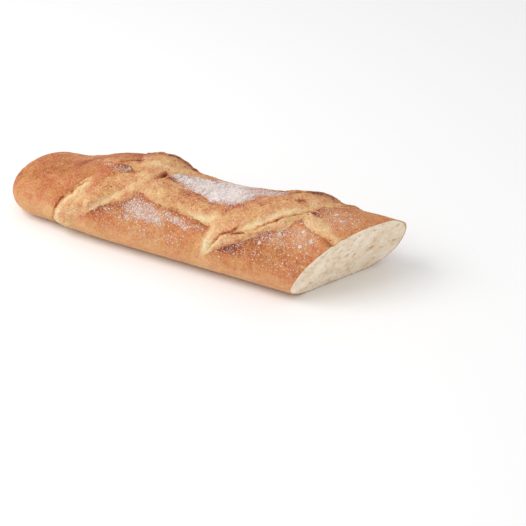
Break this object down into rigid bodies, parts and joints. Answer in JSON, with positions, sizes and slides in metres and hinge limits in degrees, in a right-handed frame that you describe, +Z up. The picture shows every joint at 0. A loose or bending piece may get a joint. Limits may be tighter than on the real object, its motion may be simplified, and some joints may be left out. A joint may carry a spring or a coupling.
{
  "type": "rustic bread loaf",
  "caption": "Long rustic wheat loaf with a rounded tip, criss-cross slashes that opened in the oven, a floury crust and a bias cut through its other end.",
  "frame": {"origin": "on the flat base, under the middle of the loaf's length and width", "axes": "+X along the loaf from its rounded tip to its cut face, +Y across it to the far side, +Z up"},
  "size_m": [0.2923, 0.0826, 0.0554],
  "materials": {
    "crust": "matt baked crust, dusted with flour"
  },
  "bodies": {
    "root": {"loaf": "crust"}
  },
  "joints": []
}
